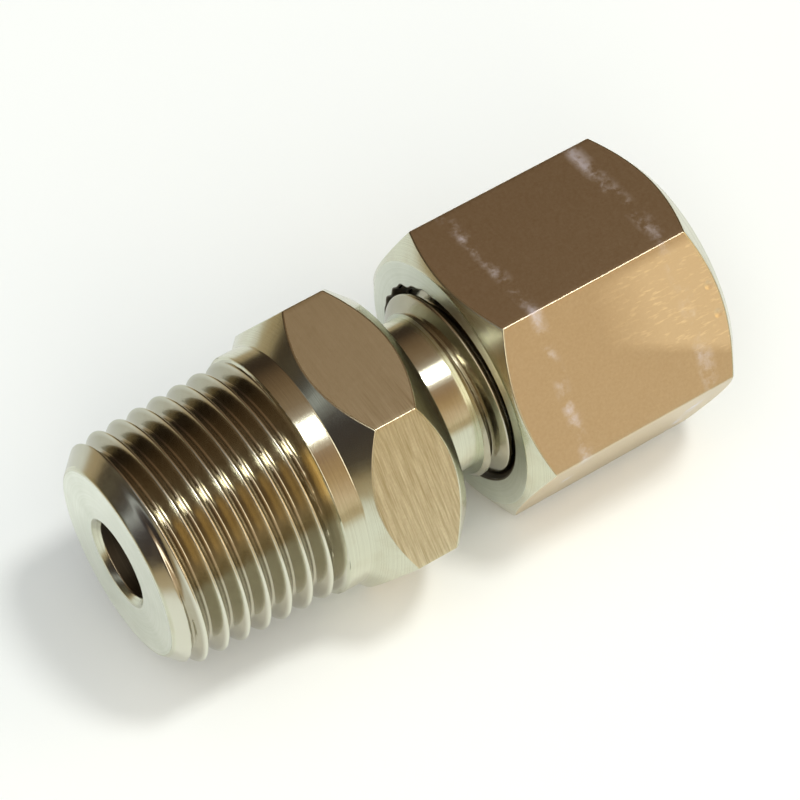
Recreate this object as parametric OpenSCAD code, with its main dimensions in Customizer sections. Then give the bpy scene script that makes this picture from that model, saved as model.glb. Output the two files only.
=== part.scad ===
// Compression fitting for a thin sheathed temperature probe, in stainless steel:
// a one-piece body with a tapered pipe thread, a ferrule inside, and a gland nut.
// It lies on its side with its axis along X, the pipe thread towards -X and the nut
// towards +X, and rests on one corner edge of each hexagon at Z = 0.
// A station, named with s, is a distance along the axis from the pipe end's face.

/* [Probe] */
// Diameter of the probe that the fitting grips
probe_d = 3; // [2.4:0.1:3.6]
// Gap round the probe in the body's bore
bore_gap = 0.1; // [0.05:0.01:0.2]
// Gap round the probe in the loose ferrule
ferrule_bore_gap = 0.02; // [0.01:0.01:0.1]
// Gap round the probe where it leaves the nut
outlet_gap = 0.25; // [0.15:0.01:0.35]

/* [Pipe thread] */
// Major diameter of the taper thread at its gauge plane
pipe_d = 9.728; // [9:0.002:10]
// Distance of the gauge plane from the pipe end
pipe_gauge_len = 4; // [3:0.1:5]
// Pitch of the taper thread, 28 threads to the inch
pipe_pitch = 0.907; // [0.7:0.001:1.1]
// Length of the threaded part
pipe_len = 7.45; // [6:0.05:10]
// Diameter of the flat face at the pipe end
pipe_face_d = 7.9; // [7:0.1:8.6]
// Width of the countersink at the mouth of the bore
bore_chamfer = 0.25; // [0.1:0.05:0.5]

/* [Body] */
// Diameter of the plain collar between the pipe thread and the hexagon
collar_d = 10.2; // [10:0.1:10.8]
// Length of the collar
collar_len = 0.7; // [0.3:0.1:3]
// Width of the body's hexagon across its flats
hex_af = 11; // [10.8:0.1:14]
// Length of the body's hexagon with its chamfers
hex_len = 4.3; // [3.5:0.1:8]
// Angle of the chamfers on the body's hexagon, from its faces
hex_angle = 45; // [25:1:50]
// Distance by which the body's face towards the nut stays inside the flats
hex_face_inset = 0.4; // [0.1:0.05:0.8]
// Diameter of the undercut neck behind the compression thread
neck_d = 6.5; // [6:0.1:7]
// Length of the neck
neck_len = 1.85; // [1.2:0.05:2.4]

/* [Compression thread] */
// Major diameter of the compression thread
comp_d = 8; // [7.4:0.1:8.8]
// Pitch of the compression thread
comp_pitch = 1; // [0.75:0.05:1.25]
// Length of the compression thread
comp_len = 6.2; // [5:0.1:9]
// Width of the chamfer at each end of the compression thread
comp_chamfer = 0.45; // [0.2:0.05:0.6]
// Radial gap between the nut's wall and the compression thread
thread_gap = 0.05; // [0.03:0.01:0.1]

/* [Ferrule and its seat] */
// Wall left between the thread's root and the mouth of the cone seat
seat_wall = 0.5; // [0.3:0.05:0.8]
// Half angle of the cone seat in the body and of the ferrule's front
seat_angle = 15; // [12:0.5:20]
// Step by which the ferrule's thickest part is larger than the mouth of the seat
ferrule_step = 0.1; // [0:0.05:0.3]
// Length of the ferrule's thickest part
ferrule_land = 0.6; // [0.2:0.05:1.5]
// Wall of the ferrule at its thin front end
ferrule_tip_wall = 0.4; // [0.2:0.05:0.6]
// Step between the ferrule's back end and the hole in the nut
ferrule_tail_step = 0.3; // [0.1:0.05:0.5]
// Play between the ferrule and each of its two cones, square to the cone
ferrule_gap = 0.05; // [0.02:0.01:0.1]
// Travel of the nut from the pose shown here to finger-tight
take_up = 1; // [0.3:0.05:1.5]

/* [Nut] */
// Gap between the body's hexagon and the nut in the pose shown here
nut_gap = 2.65; // [2:0.05:4]
// Width of the nut's hexagon across its flats
nut_af = 11; // [10:0.1:14]
// Turn of the nut's hexagon against the body's hexagon, in degrees
nut_turn = 9.5; // [0:0.5:30]
// Distance by which the nut's face at its open end stays inside the flats
nut_face_inset = 0.2; // [0.1:0.05:0.4]
// Angle of the chamfer at the nut's open end, from its face
nut_face_angle = 31; // [15:1:50]
// Distance by which the nut's outer face stays inside the flats
nut_end_inset = 0.5; // [0.1:0.05:0.8]
// Angle of the chamfer at the nut's outer end, from its face
nut_end_angle = 36; // [15:1:50]
// Width of the countersink at the nut's open end
nut_mouth_chamfer = 0.25; // [0.1:0.05:0.5]
// Half angle of the cone inside the nut that pushes the ferrule
nut_cone_angle = 45; // [35:1:60]
// Length of the straight hole at the nut's outer end
outlet_len = 1.15; // [0.6:0.05:3]
// Width of the countersink at the nut's outer end
outlet_chamfer = 0.2; // [0.1:0.05:0.4]

/* [Hidden] */

// Taper of the pipe thread: radius gained for each millimetre of length.
PIPE_TAPER = 1 / 32;
// Depth of each thread, from crest to root.
PIPE_DEPTH = 0.6403 * pipe_pitch;
COMP_DEPTH = 0.6134 * comp_pitch;
// Distance from each thread's near end to its first crest, measured along the
// underside of the fitting, as a share of the pitch.
PIPE_PHASE = 0.38;
COMP_PHASE = 0.21;
// Facets round a thread, and along one pitch of it.
THREAD_SIDES = 36;
THREAD_ROWS = 6;
// Overlap that fuses a threaded stretch with the next stretch of the body.
FUSE = 0.15;

// Radii of the bores that the probe passes.
bore_r = probe_d / 2 + bore_gap;
ferrule_bore_r = probe_d / 2 + ferrule_bore_gap;
outlet_r = probe_d / 2 + outlet_gap;
// Radii of the cone seat's mouth and of the ferrule's land, tip and tail.
seat_r = comp_d / 2 - COMP_DEPTH - seat_wall;
land_r = seat_r + ferrule_step;
tip_r = ferrule_bore_r + ferrule_tip_wall;
tail_r = outlet_r + ferrule_tail_step;

// Stations along the body, from the pipe end.
collar_s = pipe_len;
hex_s = collar_s + collar_len;
neck_s = hex_s + hex_len;
comp_s = neck_s + neck_len;
body_end_s = comp_s + comp_len;
// Stations of the ferrule, which stands off the seat by the nut's take-up.
land_s = body_end_s + take_up + ferrule_gap / sin(seat_angle) + ferrule_step / tan(seat_angle);
tip_s = land_s - (land_r - tip_r) / tan(seat_angle);
back_s = land_s + ferrule_land;
tail_s = back_s + (land_r - tail_r) / tan(nut_cone_angle);
// Stations of the nut, whose cone lies behind the ferrule's back.
nut_s = neck_s + nut_gap;
outlet_s = back_s + ferrule_gap / sin(nut_cone_angle) + (land_r - outlet_r) / tan(nut_cone_angle);
overall_len = outlet_s + outlet_len;
nut_len = overall_len - nut_s;

// The fitting lies on one corner edge of each hexagon: each is turned from
// flat-side-down by half the angle between them.
function corner_r(flats) = flats / 2 / cos(30);
axis_z = max(corner_r(hex_af), corner_r(nut_af)) * cos(30 - nut_turn / 2);

// Puts a shape that is drawn up the Z axis on the fitting's axis, at station s.
module on_axis(s) {
    translate([s - overall_len / 2, 0, axis_z])
        rotate([0, 90, 0])
            children();
}

// Share of the thread's depth that is cut away: 0 on the crest, 1 in the root.
function thread_cut(turns) = (1 - cos(360 * turns)) / 2;

// Right-hand thread with rounded crests and roots, as one solid from 0 to len.
// The crest radius grows by taper, and a 45 degree chamfer starts from radius
// start_r at the near end, and from end_r at the far end.
module thread(len, crest_r, depth, pitch, taper, phase, start_r, end_r) {
    rows = ceil(len / pitch * THREAD_ROWS);
    function s(row) = len * row / rows;
    function wall_r(row, a) = min(
        crest_r + taper * s(row) - depth * thread_cut(s(row) / pitch - a / 360 - phase),
        start_r + s(row),
        end_r + len - s(row));
    points = [
        for (row = [0:rows])
            for (side = [0:THREAD_SIDES - 1])
                let (a = 360 * side / THREAD_SIDES, r = wall_r(row, a))
                    [r * cos(a), r * sin(a), s(row)]
    ];
    function at(row, side) = row * THREAD_SIDES + side % THREAD_SIDES;
    walls = [
        for (row = [0:rows - 1])
            for (side = [0:THREAD_SIDES - 1])
                each [
                    [at(row, side), at(row + 1, side), at(row + 1, side + 1)],
                    [at(row, side), at(row + 1, side + 1), at(row, side + 1)]
                ]
    ];
    caps = [
        [for (side = [0:THREAD_SIDES - 1]) at(0, side)],
        [for (side = [0:THREAD_SIDES - 1]) at(rows, THREAD_SIDES - 1 - side)]
    ];
    polyhedron(points, concat(walls, caps));
}

// Bar of hexagonal steel with cones turned on both ends, from radius start_r at
// its start to end_r at its end, and with a plain collar before the first cone.
module turned_hexagon(flats, len, start_r, start_angle, end_r, end_angle, collar = 0) {
    beyond_r = corner_r(flats) + FUSE;
    intersection() {
        cylinder(h = len, r = corner_r(flats), $fn = 6);
        rotate_extrude($fn = 96)
            polygon([
                [0, 0],
                [start_r, 0],
                if (collar > 0) [start_r, collar],
                [beyond_r, collar + (beyond_r - start_r) * tan(start_angle)],
                [beyond_r, len - (beyond_r - end_r) * tan(end_angle)],
                [end_r, len],
                [0, len]
            ]);
    }
}

// Body: turned and threaded from one hexagonal bar.
module fitting_body() {
    color("#a69c88")
        difference() {
            union() {
                on_axis(0)
                    thread(pipe_len + FUSE, pipe_d / 2 - pipe_gauge_len * PIPE_TAPER,
                           PIPE_DEPTH, pipe_pitch, PIPE_TAPER, PIPE_PHASE,
                           pipe_face_d / 2, collar_d / 2);
                on_axis(collar_s)
                    rotate(30 + nut_turn / 2)
                        turned_hexagon(hex_af, collar_len + hex_len, collar_d / 2, hex_angle,
                                       hex_af / 2 - hex_face_inset, hex_angle, collar_len);
                on_axis(neck_s - FUSE)
                    cylinder(h = neck_len + 2 * FUSE, d = neck_d, $fn = 96);
                on_axis(comp_s)
                    thread(comp_len, comp_d / 2, COMP_DEPTH, comp_pitch, 0, COMP_PHASE,
                           comp_d / 2 - comp_chamfer, comp_d / 2 - comp_chamfer);
            }
            on_axis(0)
                body_bore();
        }
}

// Through bore of the body, with its countersink and the cone seat.
module body_bore() {
    rotate_extrude($fn = 64)
        polygon([
            [0, -FUSE],
            [bore_r + bore_chamfer + FUSE, -FUSE],
            [bore_r, bore_chamfer],
            [bore_r, body_end_s - (seat_r - bore_r) / tan(seat_angle)],
            [seat_r + FUSE * tan(seat_angle), body_end_s + FUSE],
            [0, body_end_s + FUSE]
        ]);
}

// Ferrule: a loose double cone that the nut wedges into the body's seat.
module ferrule() {
    color("#b8b2a2")
        on_axis(0)
            rotate_extrude($fn = 64)
                polygon([
                    [ferrule_bore_r, tip_s],
                    [tip_r, tip_s],
                    [land_r, land_s],
                    [land_r, back_s],
                    [tail_r, tail_s],
                    [ferrule_bore_r, tail_s]
                ]);
}

// Gland nut: a hexagonal cap with a threaded mouth and a pushing cone inside.
module compression_nut() {
    wall_r = comp_d / 2 + thread_gap;
    color("#b89f7a")
        difference() {
            on_axis(nut_s)
                rotate(30 - nut_turn / 2)
                    turned_hexagon(nut_af, nut_len, nut_af / 2 - nut_face_inset, nut_face_angle,
                                   nut_af / 2 - nut_end_inset, nut_end_angle);
            on_axis(0)
                rotate_extrude($fn = 96)
                    polygon([
                        [0, nut_s - FUSE],
                        [wall_r + nut_mouth_chamfer + FUSE, nut_s - FUSE],
                        [wall_r, nut_s + nut_mouth_chamfer],
                        [wall_r, outlet_s - (wall_r - outlet_r) / tan(nut_cone_angle)],
                        [outlet_r, outlet_s],
                        [outlet_r, overall_len - outlet_chamfer],
                        [outlet_r + outlet_chamfer + FUSE, overall_len + FUSE],
                        [0, overall_len + FUSE]
                    ]);
        }
}

fitting_body();
ferrule();
compression_nut();
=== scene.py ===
from math import atan2, cos, exp, hypot, log, pi, radians, sin, tan

import bmesh
import bpy
from mathutils import Matrix, Quaternion, Vector


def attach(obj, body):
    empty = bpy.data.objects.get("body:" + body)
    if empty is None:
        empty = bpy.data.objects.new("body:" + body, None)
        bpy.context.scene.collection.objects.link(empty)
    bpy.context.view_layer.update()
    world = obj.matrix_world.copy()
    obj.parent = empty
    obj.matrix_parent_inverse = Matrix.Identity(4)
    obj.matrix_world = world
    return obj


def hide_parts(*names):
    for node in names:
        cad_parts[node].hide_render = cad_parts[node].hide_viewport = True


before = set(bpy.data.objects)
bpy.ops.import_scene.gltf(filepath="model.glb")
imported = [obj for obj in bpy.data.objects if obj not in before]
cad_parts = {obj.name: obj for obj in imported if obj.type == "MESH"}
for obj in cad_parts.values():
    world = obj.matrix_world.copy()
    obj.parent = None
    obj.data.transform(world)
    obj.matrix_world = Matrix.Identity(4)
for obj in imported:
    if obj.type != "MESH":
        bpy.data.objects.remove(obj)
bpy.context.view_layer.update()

# ---- Camera ----
# A long lens stands above the pipe end, on the near side, and looks down at the
# fitting by 53 degrees. It is turned a little about its own line of sight.
CAMERA_PLACE = (-0.04494, -0.07115, 0.11700)
CAMERA_LOOKS_ALONG = (0.32493, 0.51158, -0.79543)
CAMERA_ROLL = radians(-1.61)

scene = bpy.context.scene
scene.view_settings.view_transform = "Standard"
camera = bpy.data.objects.new("camera", bpy.data.cameras.new("camera"))
scene.collection.objects.link(camera)
scene.camera = camera
camera.data.sensor_width = 36
camera.data.lens = 162
camera.data.clip_start = 0.005
camera.data.clip_end = 20
camera.location = CAMERA_PLACE
camera.rotation_mode = "QUATERNION"
camera.rotation_quaternion = (Vector(CAMERA_LOOKS_ALONG).to_track_quat("-Z", "Y")
                              @ Quaternion((0, 0, 1), CAMERA_ROLL))


# ---- Table, lamps and room ----
# The fitting lies on a white laminate table top. A round ceiling lamp and a window stand
# on the near side, and a low warm lamp off the nut's end. Bright steel shows them all, with
# the pale table, warm walls on the near side, and a dim brown ceiling and wall behind.
def linear(code):
    """Linear colour with alpha of an sRGB hex code."""
    parts = [int(code[i:i + 2], 16) / 255 for i in (1, 3, 5)]
    return tuple(p / 12.92 if p <= 0.04045 else ((p + 0.055) / 1.055) ** 2.4
                 for p in parts) + (1.0,)


def add(tree, kind, settings=None, links=None, stops=None, **attributes):
    """Adds a node to a tree, sets its attributes and inputs, and links its inputs.

    stops are the (position, hex colour) pairs of a colour ramp, its two ends first."""
    node = tree.nodes.new(kind)
    for name, value in attributes.items():
        setattr(node, name, value)
    for name, value in (settings or {}).items():
        node.inputs[name].default_value = value
    for name, output in (links or {}).items():
        tree.links.new(output, node.inputs[name])
    for number, (position, code) in enumerate(stops or []):
        elements = node.color_ramp.elements
        element = elements[number] if number < 2 else elements.new(position)
        element.position, element.color = position, linear(code)
    return node


# The table is 3 m wide. It is white round the fitting, and painted tan further out as painted
# shade for the light falling off there, which the steel reflects.
TABLE_SIZE = 3.0
PALE_TO, TAN_SHADE_FROM = 0.032, 0.058
table_mesh = bpy.data.meshes.new("table")
bm = bmesh.new()
bmesh.ops.create_grid(bm, x_segments=1, y_segments=1, size=TABLE_SIZE / 2)
bm.to_mesh(table_mesh)
bm.free()
table = bpy.data.objects.new("table", table_mesh)
scene.collection.objects.link(table)
laminate = bpy.data.materials.new("white_laminate")
laminate.use_nodes = True
tree = laminate.node_tree
shader = tree.nodes["Principled BSDF"]
shader.inputs["Roughness"].default_value = 0.6
shader.inputs["Specular IOR Level"].default_value = 0.2
away = add(tree, "ShaderNodeVectorMath",
           links={0: add(tree, "ShaderNodeTexCoord").outputs["Object"]}, operation="LENGTH")
# Painted shade: the table's colour turns tan away from the fitting.
away = add(tree, "ShaderNodeMapRange", {"From Min": PALE_TO, "From Max": TAN_SHADE_FROM},
           {"Value": away.outputs["Value"]}, interpolation_type="SMOOTHSTEP")
tone = add(tree, "ShaderNodeMix", {"A": linear("#f6f8f2"), "B": linear("#bfab86")},
           {"Factor": away.outputs["Result"]}, data_type="RGBA")
tree.links.new(tone.outputs["Result"], shader.inputs["Base Color"])
table_mesh.materials.append(laminate)


def add_lamp(name, direction, distance, size, energy, colour):
    """A soft lamp that faces the fitting, in metres and watts. A size of one number is a
    disk's, and one of two numbers is a width along the fitting and a height."""
    light = bpy.data.lights.new(name, "AREA")
    light.color = linear(colour)[:3]
    light.energy = energy
    light.shape = "RECTANGLE" if isinstance(size, tuple) else "DISK"
    light.size = size[0] if isinstance(size, tuple) else size
    if isinstance(size, tuple):
        light.size_y = size[1]
    lamp = bpy.data.objects.new(name, light)
    scene.collection.objects.link(lamp)
    away = Vector(direction).normalized()
    lamp.location = away * distance
    along = (Vector((1, 0, 0)) - away * away.x).normalized()
    lamp.rotation_mode = "QUATERNION"
    turn = Matrix((along, away.cross(along), away)).transposed()
    lamp.rotation_quaternion = turn.to_quaternion()


add_lamp("ceiling_lamp", (0.31, -0.195, 0.93), 0.6, 0.12, 1.15, "#ffffff")
add_lamp("near_window", (-0.42, -0.50, 0.76), 0.7, (0.25, 0.95), 1.6, "#fffaf0")
add_lamp("low_warm_lamp", (0.747, -0.50, 0.44), 0.6, (0.2, 0.45), 0.46, "#ffd68c")

world = bpy.data.worlds.new("room")
scene.world = world
world.use_nodes = True
tree = world.node_tree
way = add(tree, "ShaderNodeSeparateXYZ",
          links={"Vector": add(tree, "ShaderNodeTexCoord").outputs["Generated"]})
to_front = add(tree, "ShaderNodeMath", {0: 0.0}, {1: way.outputs["Y"]}, operation="SUBTRACT")
swing = add(tree, "ShaderNodeMath", links={0: to_front.outputs[0], 1: way.outputs["Z"]},
            operation="ARCTAN2")
# 0 is the wall behind the fitting, 0.5 straight up, 1 the near wall.
swing = add(tree, "ShaderNodeMapRange", {"From Min": -pi / 2, "From Max": pi / 2},
            {"Value": swing.outputs[0]})
walls = add(tree, "ShaderNodeValToRGB", links={"Fac": swing.outputs["Result"]}, stops=[
    (0.00, "#3a302a"), (1.00, "#efdcbc"), (0.13, "#403329"), (0.22, "#6d5743"),
    (0.30, "#816850"), (0.40, "#937a62"), (0.56, "#8d7560"), (0.70, "#a58263"),
    (0.82, "#c7a57c"), (0.92, "#ebcfb1")])
corner = add(tree, "ShaderNodeValToRGB", links={"Fac": swing.outputs["Result"]}, stops=[
    (0.00, "#7a7460"), (1.00, "#4a4038"), (0.16, "#4d443b"), (0.25, "#55504e"),
    (0.32, "#c4c8cc"), (0.42, "#6a6668"), (0.52, "#423c3e")])
left = add(tree, "ShaderNodeMapRange", {"From Min": -0.62, "From Max": -0.8},
           {"Value": way.outputs["X"]}, interpolation_type="SMOOTHSTEP")
walls = add(tree, "ShaderNodeMix", links={
    "Factor": left.outputs["Result"], "A": walls.outputs["Color"],
    "B": corner.outputs["Color"]}, data_type="RGBA")
above = add(tree, "ShaderNodeMapRange", {"From Min": 0.0, "From Max": 0.05},
            {"Value": way.outputs["Z"]}, interpolation_type="SMOOTHSTEP")
room = add(tree, "ShaderNodeMix", {"A": linear("#c9b48e")},
           {"Factor": above.outputs["Result"], "B": walls.outputs["Result"]}, data_type="RGBA")
tree.links.new(room.outputs["Result"], tree.nodes["Background"].inputs["Color"])
# Most of the light that reaches the table comes from the near side, and it is white.
daylight = add(tree, "ShaderNodeValToRGB", links={"Fac": swing.outputs["Result"]}, stops=[
    (0.00, "#4a4c4f"), (1.00, "#f4f9ff"), (0.25, "#686b70"), (0.50, "#a7abb2"),
    (0.75, "#ced3db")])
daylight = add(tree, "ShaderNodeBackground", {"Strength": 1.5},
               {"Color": daylight.outputs["Color"]})
light = add(tree, "ShaderNodeMixShader", links={
    0: add(tree, "ShaderNodeLightPath").outputs["Is Diffuse Ray"],
    1: tree.nodes["Background"].outputs[0], 2: daylight.outputs[0]})
tree.links.new(light.outputs[0], tree.nodes["World Output"].inputs["Surface"])


# ---- Fitting body ----
# One piece of stainless steel, turned from 11 mm hexagon bar and drilled right through: a
# tapered pipe thread of 28 threads to the inch, a plain collar, the hexagon with cones on
# its corners, an undercut neck and an M8 x 1 thread. Stations count from the pipe end.
OVERALL = 25.1237
AXIS_HEIGHT = 5.74406
COLUMNS = 216
PIPE_PITCH, PIPE_LEN, PIPE_CREST, PIPE_TAPER, PIPE_PHASE = 0.907, 7.45, 4.739, 1 / 32, 0.38
PIPE_DEPTH = 0.6403 * PIPE_PITCH
PIPE_FACE_R = 3.95
PIPE_THREAD_START, PIPE_THREAD_END = 0.08, 7.2
PIPE_DEEPENS_OVER, SHOULDER_SLOPE = 0.75, 2
COLLAR_R, COLLAR_LEN = 5.1, 0.7
HEX_FLATS, HEX_LEN, BODY_CORNER_AT = 11, 4.3, 34.75
NECK_R, NECK_LEN = 3.25, 1.85
COMP_R, COMP_PITCH, COMP_LEN, COMP_CHAMFER, COMP_PHASE = 4, 1, 6.2, 0.45, 0.21
COMP_DEPTH = 0.6134 * COMP_PITCH
BORE_R, BORE_CHAMFER = 1.6, 0.25
SEAT_R, SEAT_ANGLE = 2.8866, radians(15)
HEX_S = PIPE_LEN + COLLAR_LEN
NECK_S = HEX_S + HEX_LEN
COMP_S = NECK_S + NECK_LEN
BODY_END_S = COMP_S + COMP_LEN
# Every sharp edge is rounded as deburring leaves it, and thread edges are rubbed round.
DEBURRED, RUBBED = 0.05, 0.03
# A thread is wound as a strip on a drum, in which its depth of cut is kept until its wall
# is shaped. The strip starts some turns ahead, so that both its ends can be trimmed, and
# then its points are merged where turns meet and where they crowd on a trimmed end.
DRUM_R, TURNS_AHEAD, TURNS_SPARE, SEAM_FROM_CORNER = 10, 3.5, 5, 120
TURNS_MEET, CROWDED = 2e-3, 0.03
# Half a thread, as (share of the pitch from the crest, share of the depth): a rounded
# crest, a straight flank of 27.5 or 30 degrees, and a rounded root.
PIPE_FORM = [(0, 0), (0.015, 0.004), (0.03, 0.015), (0.045, 0.035), (0.06, 0.065),
             (0.12, 0.21), (0.2, 0.41), (0.3, 0.67), (0.37, 0.85), (0.41, 0.935),
             (0.44, 0.975), (0.47, 0.995), (0.5, 1)]
COMP_FORM = [(0, 0), (0.06, 0), (0.09, 0.03), (0.13, 0.12), (0.25, 0.47),
             (0.36, 0.82), (0.41, 0.95), (0.45, 1), (0.5, 1)]


def angle_of(v):
    """Angle of a point round the axis, right-handed along it, from straight up."""
    return atan2(-v.co.y, v.co.z)


def radius_of(v):
    return hypot(v.co.y, v.co.z)


def around(angle, radius, station):
    """Point at an angle, a radius and a station."""
    return Vector((station, -radius * sin(angle), radius * cos(angle)))


def ring_at(bm, station):
    """Open edges that lie at one station."""
    return [e for e in bm.edges if e.is_boundary
            and all(abs(v.co.x - station) < 1e-3 for v in e.verts)]


def merge(bm, verts, dist):
    """Merges points that lie close together, in the order of their places, because the
    order in which bmesh holds them changes from run to run."""
    bmesh.ops.remove_doubles(bm, verts=sorted(verts, key=lambda v: v.co[:]), dist=dist)


def cut_thread(bm, form, pitch, start, length, phase, corner_at, wall):
    """Helical wall of a right-hand thread, trimmed square at both ends.

    wall gives the radius from the station, the share of the depth that is cut and the
    angle. Returns the open ring at each end."""
    whole = form + [(1 - u, d) for u, d in form[-2:0:-1]]
    turns = int(length / pitch) + TURNS_SPARE
    seam = radians(corner_at + SEAM_FROM_CORNER)
    first = start + (phase + seam / (2 * pi) - TURNS_AHEAD) * pitch
    line = [bm.verts.new(around(seam, DRUM_R - d, first + (turn + u) * pitch))
            for turn in range(turns) for u, d in whole]
    edges = [bm.edges.new(pair) for pair in zip(line, line[1:])]
    bmesh.ops.spin(bm, geom=line + edges, cent=(0, 0, 0), axis=(1, 0, 0), angle=2 * pi,
                   steps=COLUMNS, dvec=(pitch / COLUMNS, 0, 0), use_merge=False)
    merge(bm, bm.verts, TURNS_MEET)
    for at, sign in ((start, -1), (start + length, 1)):
        bmesh.ops.bisect_plane(bm, geom=bm.verts[:] + bm.edges[:] + bm.faces[:], dist=1e-6,
                               plane_co=(at, 0, 0), plane_no=(sign, 0, 0), clear_outer=True)
    for v in bm.verts:
        v.co = around(angle_of(v), wall(v.co.x, DRUM_R - radius_of(v), angle_of(v)), v.co.x)
    for at in (start, start + length):
        merge(bm, {v for e in ring_at(bm, at) for v in e.verts}, CROWDED)
    return ring_at(bm, start), ring_at(bm, start + length)


def draw_on(bm, ring, *steps):
    """Extrudes an open ring from one (radius, station) to the next, where either may
    be a function of the angle. Returns all the rings that it passes."""
    rings = [ring]
    for radius, station in steps:
        drawn = bmesh.ops.extrude_edge_only(bm, edges=rings[-1])["geom"]
        for v in (g for g in drawn if isinstance(g, bmesh.types.BMVert)):
            a = angle_of(v)
            v.co = around(a, radius(a) if callable(radius) else radius,
                          station(a) if callable(station) else station)
        rings.append([g for g in drawn if isinstance(g, bmesh.types.BMEdge)
                      and g.is_boundary])
    return rings


def join_rings(bm, *stations):
    """Joins two open rings, which lie at one station or at two."""
    bmesh.ops.bridge_loops(bm, edges=[e for at in stations for e in ring_at(bm, at)])


def hexagon(flats, corner_at):
    """Radius of a hexagonal bar as a function of the angle."""
    def radius(a):
        return flats / 2 / cos((a - radians(corner_at)) % (pi / 3) - pi / 6)
    return radius


def long_corners(bm, rings, corner_r):
    """The six edges along a hexagonal bar, between the two cones on its ends."""
    ends = {v for ring in rings for e in ring for v in e.verts}
    return [e for e in bm.edges if all(v in ends and radius_of(v) > corner_r - 0.01
                                       for v in e.verts)
            and abs(e.verts[0].co.x - e.verts[1].co.x) > 1]


def round_off(bm, width, *rings):
    """Rounds the edges of some rings."""
    bmesh.ops.bevel(bm, geom=list(dict.fromkeys(e for ring in rings for e in ring)),
                    offset=width, offset_type="OFFSET", segments=2, profile=0.5,
                    affect="EDGES", material=-1)


def make_piece(bm, name, finish_of, *finishes):
    """Turns a mesh that was drawn in millimetres into a piece in its place.

    Where faces meet at less than 35 degrees the shading runs on, and the larger of
    them leads, so that flats and collars stay flat up to their rounded edges."""
    merge(bm, bm.verts, 5e-4)
    bmesh.ops.recalc_face_normals(bm, faces=bm.faces)
    if bm.calc_volume(signed=True) < 0:
        bmesh.ops.reverse_faces(bm, faces=bm.faces)
    bm.normal_update()
    bm.faces.index_update()
    pulls = [face.normal * face.calc_area() for face in bm.faces]
    soft = cos(radians(35))
    shading = []
    for face in bm.faces:
        face.smooth = True
        face.material_index = finish_of(face)
        for corner in face.loops:
            shading.append(sum((pulls[other.index] for other in corner.vert.link_faces
                                if other.normal.dot(face.normal) > soft),
                               Vector()).normalized())
    bmesh.ops.translate(bm, verts=bm.verts, vec=(-OVERALL / 2, 0, AXIS_HEIGHT))
    bmesh.ops.scale(bm, verts=bm.verts, vec=(0.001, 0.001, 0.001))
    mesh = bpy.data.meshes.new(name)
    bm.to_mesh(mesh)
    bm.free()
    mesh.normals_split_custom_set(shading)
    for finish in finishes:
        mesh.materials.append(finish)
    piece = bpy.data.objects.new(name, mesh)
    scene.collection.objects.link(piece)
    return piece


def lower(*radii):
    """The least of some radii, with the edge where two of them meet rubbed round."""
    return -RUBBED * log(sum(exp(-r / RUBBED) for r in radii))


def pipe_wall(s, cut, a):
    crest = PIPE_CREST + PIPE_TAPER * s
    started = min(max(s / PIPE_DEEPENS_OVER, 0), 1) ** 2
    shoulder = COLLAR_R - SHOULDER_SLOPE * (PIPE_THREAD_END - s)
    return max(lower(crest - PIPE_DEPTH * cut * started, PIPE_FACE_R + s), shoulder)


def comp_wall(s, cut, a):
    chamfer_r = COMP_R - COMP_CHAMFER
    return lower(COMP_R - COMP_DEPTH * cut, chamfer_r + s - COMP_S, chamfer_r + BODY_END_S - s)


# The compression thread is drawn first, on its own. It ends in two rings, each a little
# outside the ring on the rest of the body that it is joined to.
RING_GAP = 0.03
body_bar = hexagon(HEX_FLATS, BODY_CORNER_AT)
bm = bmesh.new()
comp_start, comp_end = cut_thread(bm, COMP_FORM, COMP_PITCH, COMP_S, COMP_LEN, COMP_PHASE,
                                  BODY_CORNER_AT, comp_wall)
draw_on(bm, comp_start, (NECK_R + RING_GAP, COMP_S))
draw_on(bm, comp_end, (SEAT_R + RING_GAP, BODY_END_S))
comp_part = bpy.data.meshes.new("compression_thread")
bm.to_mesh(comp_part)
bm.free()
bm = bmesh.new()
face_ring, shoulder_ring = cut_thread(bm, PIPE_FORM, PIPE_PITCH, PIPE_THREAD_START,
                                      PIPE_THREAD_END - PIPE_THREAD_START,
                                      PIPE_PHASE - PIPE_THREAD_START / PIPE_PITCH,
                                      BODY_CORNER_AT, pipe_wall)
inside = draw_on(bm, face_ring, (PIPE_FACE_R, 0), (BORE_R + BORE_CHAMFER, 0),
                 (BORE_R, BORE_CHAMFER),
                 (BORE_R, BODY_END_S - (SEAT_R - BORE_R) / tan(SEAT_ANGLE)),
                 (SEAT_R, BODY_END_S))
outside = draw_on(bm, shoulder_ring, (COLLAR_R, HEX_S),
                  (body_bar, lambda a: HEX_S + body_bar(a) - COLLAR_R),
                  (body_bar, lambda a: NECK_S - body_bar(a) + COLLAR_R),
                  (COLLAR_R, NECK_S), (NECK_R, NECK_S), (NECK_R, COMP_S))
round_off(bm, DEBURRED, inside[1], inside[2], inside[3], outside[0], outside[1], outside[2],
          outside[3], outside[4], long_corners(bm, outside[2:4], HEX_FLATS / 2 / cos(pi / 6)))
bm.from_mesh(comp_part)
bpy.data.meshes.remove(comp_part)
join_rings(bm, COMP_S)
join_rings(bm, BODY_END_S)


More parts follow.
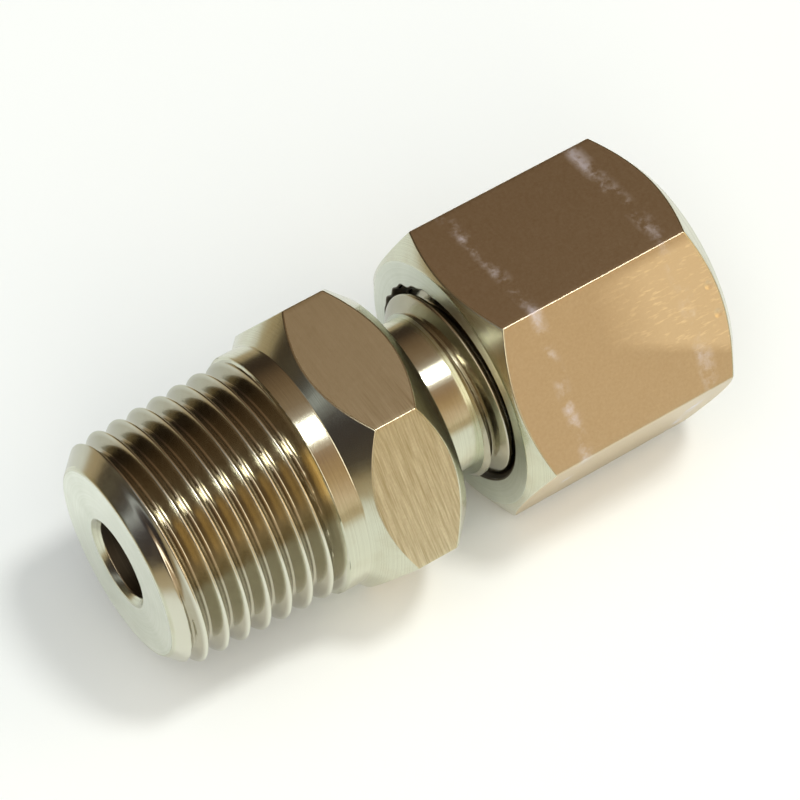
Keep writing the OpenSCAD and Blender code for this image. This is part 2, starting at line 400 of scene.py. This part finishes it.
def steel(name):
    """A bare steel, with its node tree, its shader, and where a point lies on the
    fitting: in millimetres from the pipe end and the axis, its station and radius."""
    material = bpy.data.materials.new(name)
    material.use_nodes = True
    tree = material.node_tree
    shader = tree.nodes["Principled BSDF"]
    shader.inputs["Metallic"].default_value = 1.0
    place = add(tree, "ShaderNodeMapping",
                {"Location": (OVERALL / 2, 0, -AXIS_HEIGHT), "Scale": (1000, 1000, 1000)},
                {"Vector": add(tree, "ShaderNodeTexCoord").outputs["Object"]}).outputs[0]
    station = add(tree, "ShaderNodeSeparateXYZ", links={"Vector": place}).outputs["X"]
    across = add(tree, "ShaderNodeVectorMath", {1: (0, 1, 1)}, {0: place},
                 operation="MULTIPLY").outputs[0]
    radius = add(tree, "ShaderNodeVectorMath", links={0: across},
                 operation="LENGTH").outputs["Value"]
    return material, tree, shader, place, station, radius


# Stainless steel, turned: fine tool lines run round the axis, so highlights spread
# along it. Real lines lie 0.02 mm apart, and they are drawn 0.045 mm apart to show. Old
# coolant leaves faint warm stains, about a millimetre across.
turned, tree, shader, place, station, radius = steel("turned_stainless_steel")
tool_path = add(tree, "ShaderNodeMath", {1: 0.6}, {0: radius, 2: station},
                operation="MULTIPLY_ADD").outputs[0]
lines = add(tree, "ShaderNodeTexNoise", {"Scale": 22, "Detail": 3, "Roughness": 0.6},
            {"W": tool_path}, noise_dimensions="1D").outputs[0]
smear = add(tree, "ShaderNodeTexNoise", {"Scale": 0.9, "Detail": 4, "Roughness": 0.6},
            {"Vector": place}).outputs[0]
worn = add(tree, "ShaderNodeMapRange", {"From Min": 0.4, "From Max": 0.75, "To Max": 0.35},
           {"Value": lines}).outputs["Result"]
bright = add(tree, "ShaderNodeMix", {"A": linear("#d0d2be"), "B": linear("#a09a82")},
             {"Factor": worn}, data_type="RGBA").outputs["Result"]
stained = add(tree, "ShaderNodeMapRange", {"From Min": 0.45, "From Max": 0.8, "To Max": 0.5},
              {"Value": smear}).outputs["Result"]
bright = add(tree, "ShaderNodeMix", {"B": linear("#b3a98c")},
             {"Factor": stained, "A": bright}, data_type="RGBA").outputs["Result"]
tree.links.new(bright, shader.inputs["Base Color"])
dull = add(tree, "ShaderNodeMapRange", {"To Min": 0.13, "To Max": 0.25},
           {"Value": lines}).outputs["Result"]
tree.links.new(dull, shader.inputs["Roughness"])
bumps = add(tree, "ShaderNodeBump", {"Strength": 1.0, "Distance": 1.5e-7},
            {"Height": lines}).outputs[0]
tree.links.new(bumps, shader.inputs["Normal"])

# The faced ends: the same steel, faced with a coarser cut in rings 0.1 mm apart, which leaves it
# nearly matt, with faint clouds. Its tones are painted paler than the turned steel's, as a
# painted sheen.
faced, tree, shader, place, station, radius = steel("faced_stainless_steel")
rings = add(tree, "ShaderNodeTexNoise", {"Scale": 9, "Detail": 4, "Roughness": 0.6},
            {"W": radius}, noise_dimensions="1D").outputs[0]
smear = add(tree, "ShaderNodeTexNoise", {"Scale": 0.7, "Detail": 3},
            {"Vector": place}).outputs[0]
# Painted sheen: these tones are paler than bare steel is.
tone = add(tree, "ShaderNodeMix", {"A": linear("#f2f5ea"), "B": linear("#dfe3d4")},
           {"Factor": rings}, data_type="RGBA").outputs["Result"]
cloud = add(tree, "ShaderNodeMapRange", {"From Min": 0.4, "From Max": 0.75, "To Max": 0.35},
            {"Value": smear}).outputs["Result"]
tone = add(tree, "ShaderNodeMix", {"B": linear("#c8cebb")},
           {"Factor": cloud, "A": tone}, data_type="RGBA").outputs["Result"]
tree.links.new(tone, shader.inputs["Base Color"])
dull = add(tree, "ShaderNodeMapRange", {"To Min": 0.26, "To Max": 0.4},
           {"Value": rings}).outputs["Result"]
tree.links.new(dull, shader.inputs["Roughness"])
bumps = add(tree, "ShaderNodeBump", {"Strength": 1.0, "Distance": 1.5e-6},
            {"Height": rings}).outputs[0]
tree.links.new(bumps, shader.inputs["Normal"])

# The threads: bright on the crests and the start cone, and browner further in, where shade is
# painted into the grooves, and darker on the far side, where shade is painted too. The painted
# shade in the grooves is told by the depth below the crests, whose radius is the least of three
# lines along the axis.
COMP_STEP_AT, COMP_SHADE_CREST_R = COMP_S - 0.3, COMP_R + 0.1
START_CONE_R = PIPE_FACE_R + 0.05
GROOVE_SHADE_FROM, GROOVE_SHADE_FULL = 0.03, 0.16
threaded, tree, shader, place, station, radius = steel("threaded_stainless_steel")
crest = add(tree, "ShaderNodeMath", {1: PIPE_TAPER, 2: PIPE_CREST}, {0: station},
            operation="MULTIPLY_ADD").outputs[0]
comp_crest = add(tree, "ShaderNodeMath", {0: COMP_STEP_AT}, {1: station},
                 operation="SUBTRACT").outputs[0]
comp_crest = add(tree, "ShaderNodeMath", {1: 0.0}, {0: comp_crest},
                 operation="MAXIMUM").outputs[0]
comp_crest = add(tree, "ShaderNodeMath", {1: COMP_SHADE_CREST_R}, {0: comp_crest},
                 operation="ADD").outputs[0]
crest = add(tree, "ShaderNodeMath", links={0: crest, 1: comp_crest},
            operation="MINIMUM").outputs[0]
start_cone = add(tree, "ShaderNodeMath", {1: START_CONE_R}, {0: station},
                 operation="ADD").outputs[0]
crest = add(tree, "ShaderNodeMath", links={0: crest, 1: start_cone},
            operation="MINIMUM").outputs[0]
depth = add(tree, "ShaderNodeMath", links={0: crest, 1: radius}, operation="SUBTRACT").outputs[0]
# Painted shade in the grooves: it deepens below the crests.
groove_shade = add(tree, "ShaderNodeMapRange", {"From Min": GROOVE_SHADE_FROM, "From Max": GROOVE_SHADE_FULL},
            {"Value": depth}).outputs["Result"]
thread_tone = add(tree, "ShaderNodeTexNoise", {"Scale": 1.6, "Detail": 4, "Roughness": 0.65},
           {"Vector": place}).outputs[0]
thread_tone = add(tree, "ShaderNodeMix", {"A": linear("#a29b86"), "B": linear("#b7b4a1")},
           {"Factor": thread_tone}, data_type="RGBA").outputs["Result"]
thread_tone = add(tree, "ShaderNodeMix", {"A": linear("#d6d6c6")},
           {"Factor": groove_shade, "B": thread_tone}, data_type="RGBA").outputs["Result"]
across = add(tree, "ShaderNodeSeparateXYZ", links={"Vector": place}).outputs["Y"]
# Painted shade on the far side of the axis.
far_side_shade = add(tree, "ShaderNodeMapRange", {"From Min": 1.5, "From Max": 4.5, "To Max": 0.8},
             {"Value": across}).outputs["Result"]
thread_tone = add(tree, "ShaderNodeMix", {"B": linear("#8f8e79")},
           {"Factor": far_side_shade, "A": thread_tone}, data_type="RGBA").outputs["Result"]
tree.links.new(thread_tone, shader.inputs["Base Color"])
dull = add(tree, "ShaderNodeTexNoise", {"Scale": 4, "Detail": 3}, {"Vector": place}).outputs[0]
dull = add(tree, "ShaderNodeMapRange", {"To Min": 0.1, "To Max": 0.26},
           {"Value": dull}).outputs["Result"]
tree.links.new(dull, shader.inputs["Roughness"])

# The drilled bore: the same steel, torn and dulled by the drill, and painted dark inside as
# painted shade, for the little light in it.
drilled, tree, shader, place, station, radius = steel("drilled_stainless_steel")
shader.inputs["Roughness"].default_value = 0.45
flutes = add(tree, "ShaderNodeTexNoise", {"Scale": 6, "Detail": 4},
             {"W": station}, noise_dimensions="1D").outputs[0]
# Painted shade: both tones are much darker than the steel.
scored_and_shaded = add(tree, "ShaderNodeMix", {"A": linear("#8b8270"), "B": linear("#4c443a")},
             {"Factor": flutes}, data_type="RGBA").outputs["Result"]
tree.links.new(scored_and_shaded, shader.inputs["Base Color"])
bumps = add(tree, "ShaderNodeBump", {"Strength": 1.0, "Distance": 6e-6},
            {"Height": flutes}).outputs[0]
tree.links.new(bumps, shader.inputs["Normal"])

# The flats of the body's hexagon: cold-drawn bar, dressed on a belt. Short strokes,
# 0.07 mm wide and about 2 mm long, run round the bar, over a fine matt grain. They are
# deepest on the near side.
dressed, tree, shader, place, station, radius = steel("belt_dressed_steel")
tilted = add(tree, "ShaderNodeMapping", {"Rotation": (0, radians(5), 0)},
             {"Vector": place}).outputs[0]
along_strokes = add(tree, "ShaderNodeMapping", {"Scale": (13, 0.55, 0.55)},
                    {"Vector": tilted}).outputs[0]
strokes = add(tree, "ShaderNodeTexNoise", {"Scale": 1, "Detail": 3, "Roughness": 0.65},
              {"Vector": along_strokes}).outputs[0]
grain = add(tree, "ShaderNodeTexNoise", {"Scale": 9, "Detail": 3, "Roughness": 0.7},
            {"Vector": place}).outputs[0]
across = add(tree, "ShaderNodeSeparateXYZ", links={"Vector": place}).outputs["Y"]
rough_side = add(tree, "ShaderNodeMapRange",
                 {"From Min": -1.5, "From Max": -3.5, "To Min": 0.5, "To Max": 2.4},
                 {"Value": across}).outputs["Result"]
tone = add(tree, "ShaderNodeMath", {1: -0.51}, {0: strokes}, operation="ADD").outputs[0]
tone = add(tree, "ShaderNodeMath", {2: 0.5}, {0: tone, 1: rough_side},
           operation="MULTIPLY_ADD", use_clamp=True).outputs[0]
tan_steel = add(tree, "ShaderNodeMix", {"A": linear("#b6ac88"), "B": linear("#e6e1c4")},
                {"Factor": tone}, data_type="RGBA").outputs["Result"]
speck = add(tree, "ShaderNodeMapRange", {"From Min": 0.3, "From Max": 0.7, "To Max": 0.3},
            {"Value": grain}).outputs["Result"]
tan_steel = add(tree, "ShaderNodeMix", {"B": linear("#bfa98c")},
                {"Factor": speck, "A": tan_steel}, data_type="RGBA").outputs["Result"]
tree.links.new(tan_steel, shader.inputs["Base Color"])
dull = add(tree, "ShaderNodeMapRange", {"To Min": 0.26, "To Max": 0.44},
           {"Value": grain}).outputs["Result"]
tree.links.new(dull, shader.inputs["Roughness"])
bumps = add(tree, "ShaderNodeBump", {"Strength": 1.0, "Distance": 1.5e-6},
            {"Height": strokes}).outputs[0]
tree.links.new(bumps, shader.inputs["Normal"])


# How much of a face's normal lies along the axis: on a faced end at least the first, and
# on a flat of a hexagon at most the second.
FACED, ON_FLAT = 0.98, 0.05
DRILLED_R = 2.5


def body_finish(face):
    """Which finish a face of the body has: 0 turned, 1 faced, 2 threaded, 3 dressed
    flat, 4 drilled."""
    middle = face.calc_center_median()
    radius = hypot(middle.y, middle.z)
    inward = face.normal.y * middle.y + face.normal.z * middle.z < 0
    if inward and BORE_CHAMFER < middle.x < BODY_END_S - 0.1 and radius < DRILLED_R:
        return 4
    if abs(face.normal.x) > FACED:
        return 1
    if not inward and (0.1 < middle.x < PIPE_THREAD_END - 0.06 or middle.x > COMP_S):
        return 2
    on_flat = HEX_S < middle.x < NECK_S and abs(face.normal.x) < ON_FLAT
    return 3 if on_flat and radius > COLLAR_R + 0.1 else 0


turned_body = make_piece(bm, "turned_body", body_finish, turned, faced, threaded,
                         dressed, drilled)
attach(turned_body, "fitting")
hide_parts("fitting_body")


# ---- Ferrule ----
# A loose olive of softer stainless steel, turned as a double cone. The nut wedges it
# into the body's seat, where its thin front edge bites on the probe.
FERRULE_BORE_R = 1.52
FERRULE_OUTLINE = [(FERRULE_BORE_R, 18.0858), (1.92, 18.0858), (2.9866, 22.0664),
                   (2.9866, 22.6664), (2.05, 23.603), (FERRULE_BORE_R, 23.603)]
FERRULE_COLUMNS, FERRULE_ROUNDED = 96, 0.06

bm = bmesh.new()
outline = [bm.verts.new(around(0, r, s)) for r, s in FERRULE_OUTLINE]
edges = [bm.edges.new(pair) for pair in zip(outline, outline[1:] + outline[:1])]
bmesh.ops.spin(bm, geom=outline + edges, cent=(0, 0, 0), axis=(1, 0, 0), angle=2 * pi,
               steps=FERRULE_COLUMNS, use_merge=True)
round_off(bm, FERRULE_ROUNDED, [e for e in bm.edges if e.calc_face_angle(0) > radians(10)])
olive = make_piece(bm, "turned_ferrule", lambda face: 0, turned)
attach(olive, "ferrule")
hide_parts("ferrule")


# ---- Gland nut ----
# A cap of stainless steel, turned from drawn 11 mm hexagon bar: coned on both ends, tapped
# M8 x 1 from an uneven, torn countersink, with a 45 degree cone inside that pushes the
# ferrule, and a plain hole for the probe.
NUT_S, NUT_FLATS, NUT_CORNER_AT = 15.10, 11, 25.25
NUT_FACE_R, NUT_FACE_SLOPE = 5.3, tan(radians(31))
NUT_END_R, NUT_END_SLOPE = 5.0, tan(radians(36))
NUT_WALL_R, MOUTH_R, TAPPED_LEN = 4.05, 4.45, 5.8
OUTLET_R, OUTLET_S, OUTLET_CHAMFER = 1.75, 23.9737, 0.2
INNER_JOIN_S, OUTER_JOIN_S = OVERALL - 0.6, OVERALL - 0.5
TAPPED_SHARE, RUN_OUT_SLOPE, MOUTH_SLOPE = 0.9, 0.9, 0.6
# The countersink is an oval, widest at 47 degrees, with a burr round minus 58 degrees.
OVAL, OVAL_AT, BURR, BURR_AT = 0.24, radians(47), 0.2, radians(-58)


def tapped_wall(s, cut, a):
    torn = max(0, cos(a - BURR_AT) - 0.5)
    mouth_r = (MOUTH_R + OVAL * cos(2 * (a - OVAL_AT))
               + BURR * torn * sin(19 * a) * sin(7 * a + 1))
    return -lower(TAPPED_SHARE * COMP_DEPTH * cut - NUT_WALL_R,
                  MOUTH_SLOPE * (s - NUT_S) - mouth_r,
                  RUN_OUT_SLOPE * (NUT_S + TAPPED_LEN - s) - NUT_WALL_R)


nut_bar = hexagon(NUT_FLATS, NUT_CORNER_AT)
bm = bmesh.new()
mouth_ring, deep_ring = cut_thread(bm, COMP_FORM, COMP_PITCH, NUT_S, TAPPED_LEN,
                                   COMP_PHASE - (NUT_S - COMP_S) / COMP_PITCH,
                                   NUT_CORNER_AT, tapped_wall)
draw_on(bm, deep_ring, (NUT_WALL_R, OUTLET_S - NUT_WALL_R + OUTLET_R), (OUTLET_R, OUTLET_S),
        (OUTLET_R, INNER_JOIN_S))
outside = draw_on(bm, mouth_ring, (NUT_FACE_R, NUT_S),
                  (nut_bar, lambda a: NUT_S + (nut_bar(a) - NUT_FACE_R) * NUT_FACE_SLOPE),
                  (nut_bar, lambda a: OVERALL - (nut_bar(a) - NUT_END_R) * NUT_END_SLOPE),
                  (NUT_END_R, OVERALL), (OUTLET_R + OUTLET_CHAMFER, OVERALL),
                  (OUTLET_R, OVERALL - OUTLET_CHAMFER), (OUTLET_R, OUTER_JOIN_S))
round_off(bm, DEBURRED, mouth_ring, *outside[1:6],
          long_corners(bm, outside[2:4], NUT_FLATS / 2 / cos(pi / 6)))
join_rings(bm, INNER_JOIN_S, OUTER_JOIN_S)


# The flats of the nut: cold-drawn bar, left as drawn, with a matt grain. Handling has
# left two broken bands of pale smears round it, 17.2 and 23.2 mm from the pipe end.
handled, tree, shader, place, station, radius = steel("cold_drawn_steel")
grain = add(tree, "ShaderNodeTexNoise", {"Scale": 8, "Detail": 4, "Roughness": 0.7},
            {"Vector": place}).outputs[0]
tan_steel = add(tree, "ShaderNodeMix", {"A": linear("#c2b190"), "B": linear("#d8ceb6")},
                {"Factor": grain}, data_type="RGBA").outputs["Result"]
at = add(tree, "ShaderNodeMapRange", {"From Min": 16, "From Max": 25}, {"Value": station})
bands = add(tree, "ShaderNodeValToRGB", links={"Fac": at.outputs["Result"]}, stops=[
    (0.09, "#000000"), (1.0, "#000000"), (0.125, "#ffffff"), (0.145, "#e0e0e0"),
    (0.18, "#000000"), (0.75, "#000000"), (0.79, "#ffffff"), (0.82, "#e0e0e0"),
    (0.86, "#000000")]).outputs["Color"]
cloud = add(tree, "ShaderNodeTexNoise", {"Scale": 0.9, "Detail": 5, "Roughness": 0.7},
            {"Vector": place}).outputs[0]
cloud = add(tree, "ShaderNodeMapRange", {"From Min": 0.47, "From Max": 0.64, "To Max": 0.8},
            {"Value": cloud}).outputs["Result"]
smudged = add(tree, "ShaderNodeMath", links={0: bands, 1: cloud},
              operation="MULTIPLY").outputs[0]
tan_steel = add(tree, "ShaderNodeMix", {"B": linear("#e9ecfb")},
                {"Factor": smudged, "A": tan_steel}, data_type="RGBA").outputs["Result"]
# A painted highlight with scuffs: the near side is painted bright towards the outer end, up to a
# slanting line, as a painted highlight, with fine scratches, drawn 0.07 mm wide to show.
highlight_patch = add(tree, "ShaderNodeVectorMath", {1: (0.51, 0.57, 0.822)}, {0: place},
             operation="DOT_PRODUCT").outputs["Value"]
highlight_patch = add(tree, "ShaderNodeMapRange", {"From Min": 10.2, "From Max": 10.7},
             {"Value": highlight_patch}).outputs["Result"]
near = add(tree, "ShaderNodeSeparateXYZ", links={"Vector": place}).outputs["Y"]
near = add(tree, "ShaderNodeMapRange", {"From Min": -2.8, "From Max": -3.0},
           {"Value": near}).outputs["Result"]
highlight_patch = add(tree, "ShaderNodeMath", links={0: highlight_patch, 1: near},
             operation="MULTIPLY").outputs[0]
outer = add(tree, "ShaderNodeMapRange", {"From Min": 19.5, "From Max": 22},
            {"Value": station}).outputs["Result"]
highlight_patch = add(tree, "ShaderNodeMath", links={0: highlight_patch, 1: outer},
             operation="MULTIPLY").outputs[0]
slanting = add(tree, "ShaderNodeMapping", {"Rotation": (0, radians(-28), 0)},
               {"Vector": place}).outputs[0]
slanting = add(tree, "ShaderNodeMapping", {"Scale": (0.35, 14, 5)},
               {"Vector": slanting}).outputs[0]
scratches = add(tree, "ShaderNodeTexNoise", {"Scale": 1, "Detail": 2, "Roughness": 0.5},
                {"Vector": slanting}).outputs[0]
scratches = add(tree, "ShaderNodeMapRange", {"From Min": 0.55, "From Max": 0.75},
                {"Value": scratches}).outputs["Result"]
highlight_and_scratches = add(tree, "ShaderNodeMapRange", {"To Min": 0.04, "To Max": 0.45},
            {"Value": highlight_patch}).outputs["Result"]
highlight_and_scratches = add(tree, "ShaderNodeMath", links={0: highlight_and_scratches, 1: scratches},
            operation="MULTIPLY").outputs[0]
highlight_and_scratches = add(tree, "ShaderNodeMath", {1: 0.5}, {0: highlight_patch, 2: highlight_and_scratches},
            operation="MULTIPLY_ADD", use_clamp=True).outputs[0]
# Painted highlight: the patch, with the scratches in it, goes pale.
tan_steel = add(tree, "ShaderNodeMix", {"B": linear("#fff6da")},
                {"Factor": highlight_and_scratches, "A": tan_steel}, data_type="RGBA").outputs["Result"]
tree.links.new(tan_steel, shader.inputs["Base Color"])
dull = add(tree, "ShaderNodeMapRange", {"To Min": 0.28, "To Max": 0.44},
           {"Value": grain}).outputs["Result"]
dull = add(tree, "ShaderNodeMath", {1: 0.35}, {0: smudged, 2: dull},
           operation="MULTIPLY_ADD").outputs[0]
tree.links.new(dull, shader.inputs["Roughness"])
# Two nicks, 0.3 mm across, lie side by side next to the outer edge.
NICKS = ((24.40, -4.09, 3.75), (24.42, -4.79, 2.75))
nicks = [add(tree, "ShaderNodeVectorMath", {1: at_nick}, {0: place},
             operation="DISTANCE").outputs["Value"]
         for at_nick in NICKS]
nick = add(tree, "ShaderNodeMath", links={0: nicks[0], 1: nicks[1]},
           operation="MINIMUM").outputs[0]
nick = add(tree, "ShaderNodeMapRange", {"From Min": 0.06, "From Max": 0.2, "To Max": 12},
           {"Value": nick}).outputs["Result"]
height = add(tree, "ShaderNodeMath", links={0: grain, 1: nick}, operation="ADD").outputs[0]
bumps = add(tree, "ShaderNodeBump", {"Strength": 1.0, "Distance": 2e-6},
            {"Height": height}).outputs[0]
tree.links.new(bumps, shader.inputs["Normal"])


def nut_finish(face):
    """Which finish a face of the nut has: 0 turned, 1 faced, 2 as drawn, 3 drilled."""
    middle = face.calc_center_median()
    outward = face.normal.y * middle.y + face.normal.z * middle.z
    if outward < 0 and NUT_S < middle.x < OVERALL - OUTLET_CHAMFER:
        return 3
    if abs(face.normal.x) > FACED:
        return 1
    on_flat = outward > 0 and abs(face.normal.x) < ON_FLAT
    return 2 if on_flat and hypot(middle.y, middle.z) > NUT_FACE_R else 0


drawn_nut = make_piece(bm, "drawn_nut", nut_finish, turned, faced, handled, drilled)
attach(drawn_nut, "nut")
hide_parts("compression_nut")
